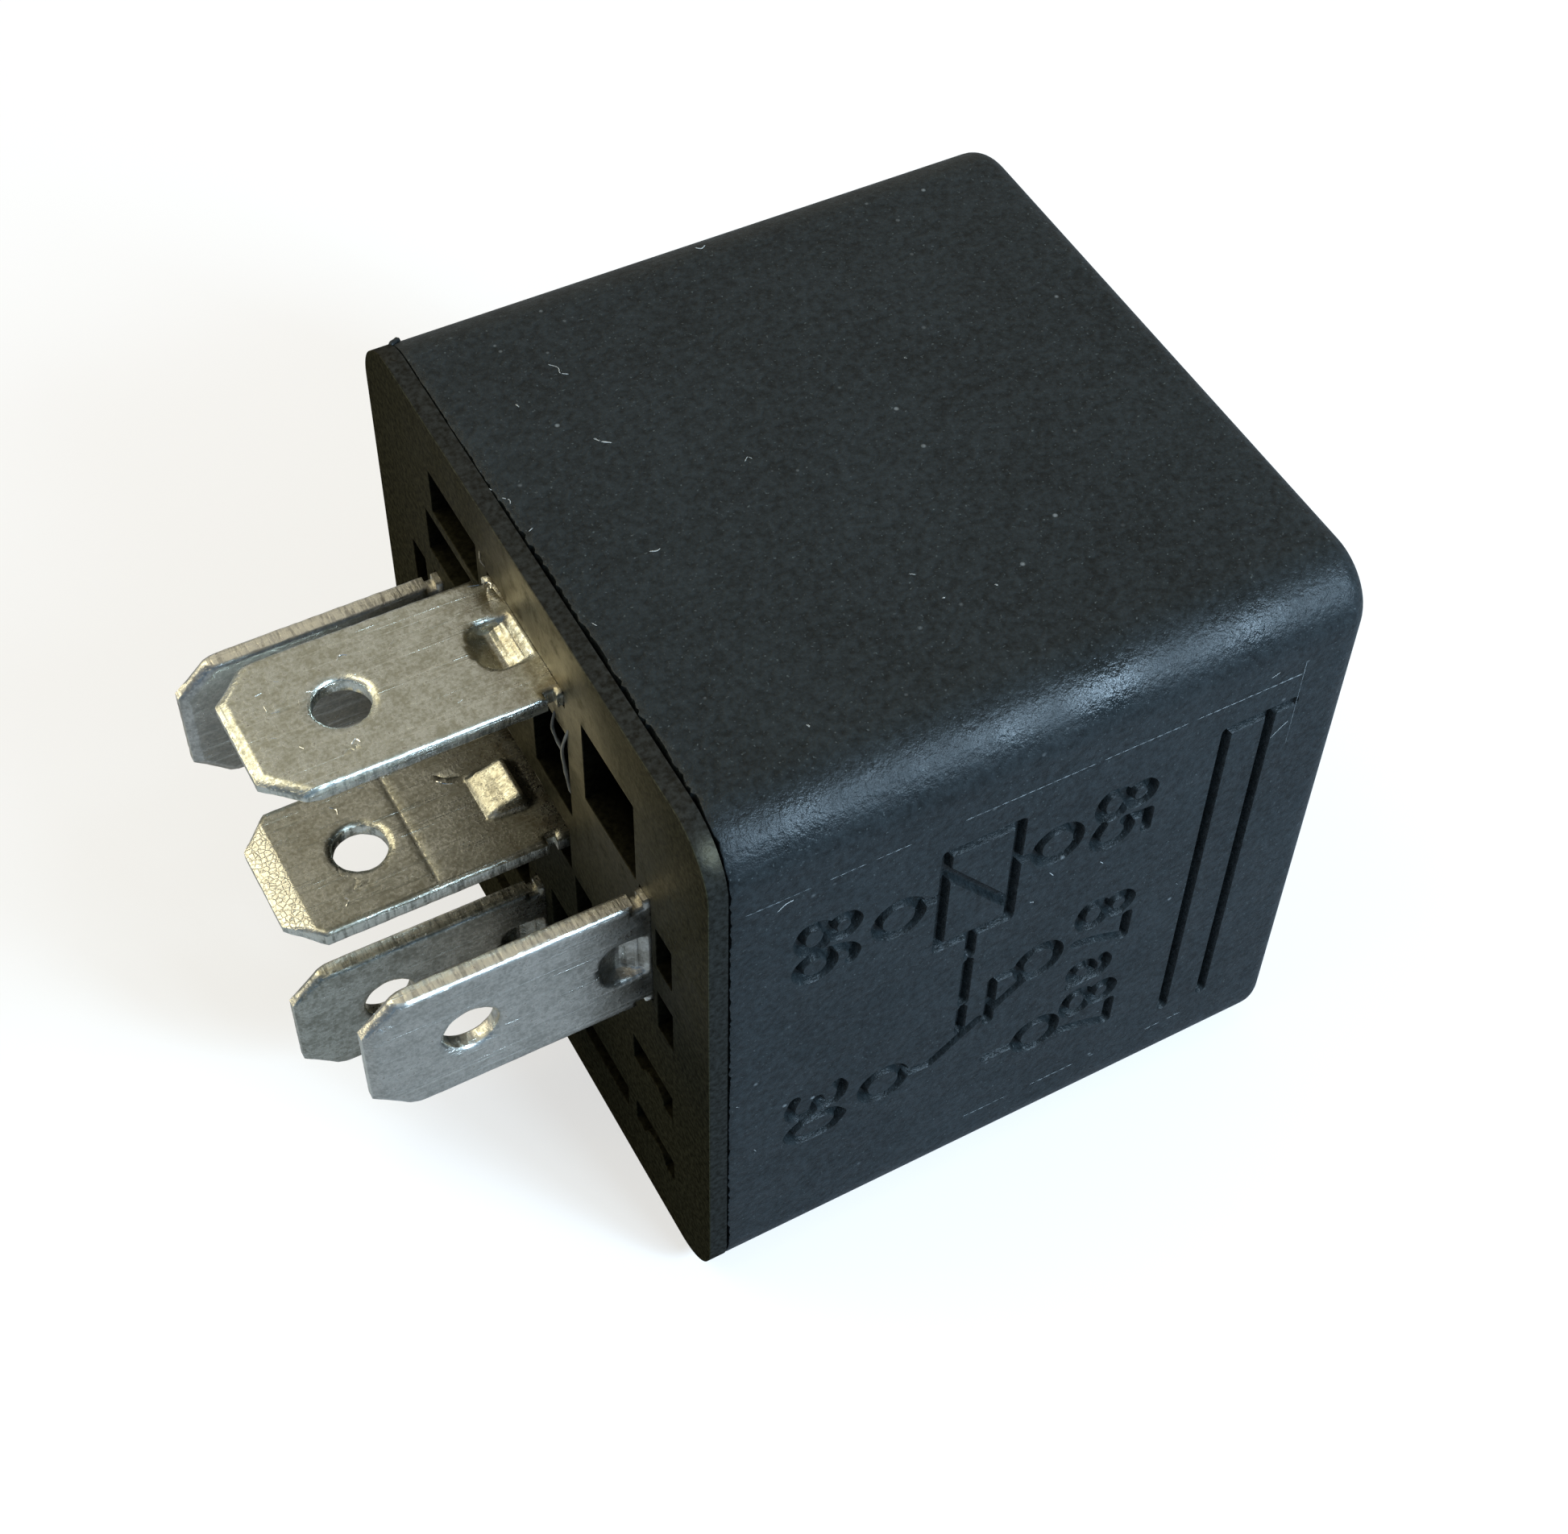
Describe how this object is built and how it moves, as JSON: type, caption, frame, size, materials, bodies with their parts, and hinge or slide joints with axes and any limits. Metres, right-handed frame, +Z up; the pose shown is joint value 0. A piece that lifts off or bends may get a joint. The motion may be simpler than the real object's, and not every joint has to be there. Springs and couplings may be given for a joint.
{
  "type": "automotive relay",
  "caption": "Plug-in changeover relay: square black housing with a circuit diagram on one side, flat blade terminals, and a magnet with a tipping armature inside.",
  "frame": {"origin": "under the middle of the whole part, on the plane it lies on", "axes": "+X from the blades towards the closed top of the housing, +Z up from the side it lies on, the side with the circuit diagram faces -Y"},
  "size_m": [0.0376, 0.028, 0.0285],
  "materials": {
    "cover_plastic": "fine moulded grain, faint grey-green",
    "base_plastic": "smooth moulded, slightly brown",
    "tinned_strip": "hot tinned, satin, scratched by handling",
    "tinned_coil_blade": "tinned, satin, a little greyer",
    "former_plastic": "natural nylon",
    "enamelled_wire": "copper wire under clear enamel",
    "soft_iron": "turned and ground pole face",
    "plated_iron": "zinc plated, dull",
    "spring_bronze": "rolled bronze",
    "silver_alloy": "bright silver alloy",
    "rivet_steel": "plated, peened heads"
  },
  "bodies": {
    "relay": {"cover": "cover_plastic", "base": "base_plastic", "terminal_87": "tinned_strip", "terminal_87a": "tinned_strip", "terminal_30": "tinned_strip", "terminal_85": "tinned_coil_blade", "terminal_86": "tinned_coil_blade", "coil_former": "former_plastic", "winding": "enamelled_wire", "core": "soft_iron", "yoke": "plated_iron", "make_contact": "silver_alloy", "break_contact": "silver_alloy", "yoke_rivets": "rivet_steel", "terminal_rivet": "rivet_steel", "coil_lead_85": "enamelled_wire", "coil_lead_86": "enamelled_wire"},
    "magnet_armature": {"armature": "plated_iron", "armature_rivets": "rivet_steel", "moving_contact": "silver_alloy", "contact_spring": "spring_bronze"}
  },
  "joints": [
    {"name": "armature_tip", "type": "hinge", "parent": "relay", "child": "magnet_armature", "pos_m": [0.01161, 0, 0.00295], "axis": [0, -1, 0], "range_deg": [0, 3], "stiffness_Nm_per_rad": 0.03, "springref_deg": -17.19, "deforming": ["contact_spring"]}
  ]
}
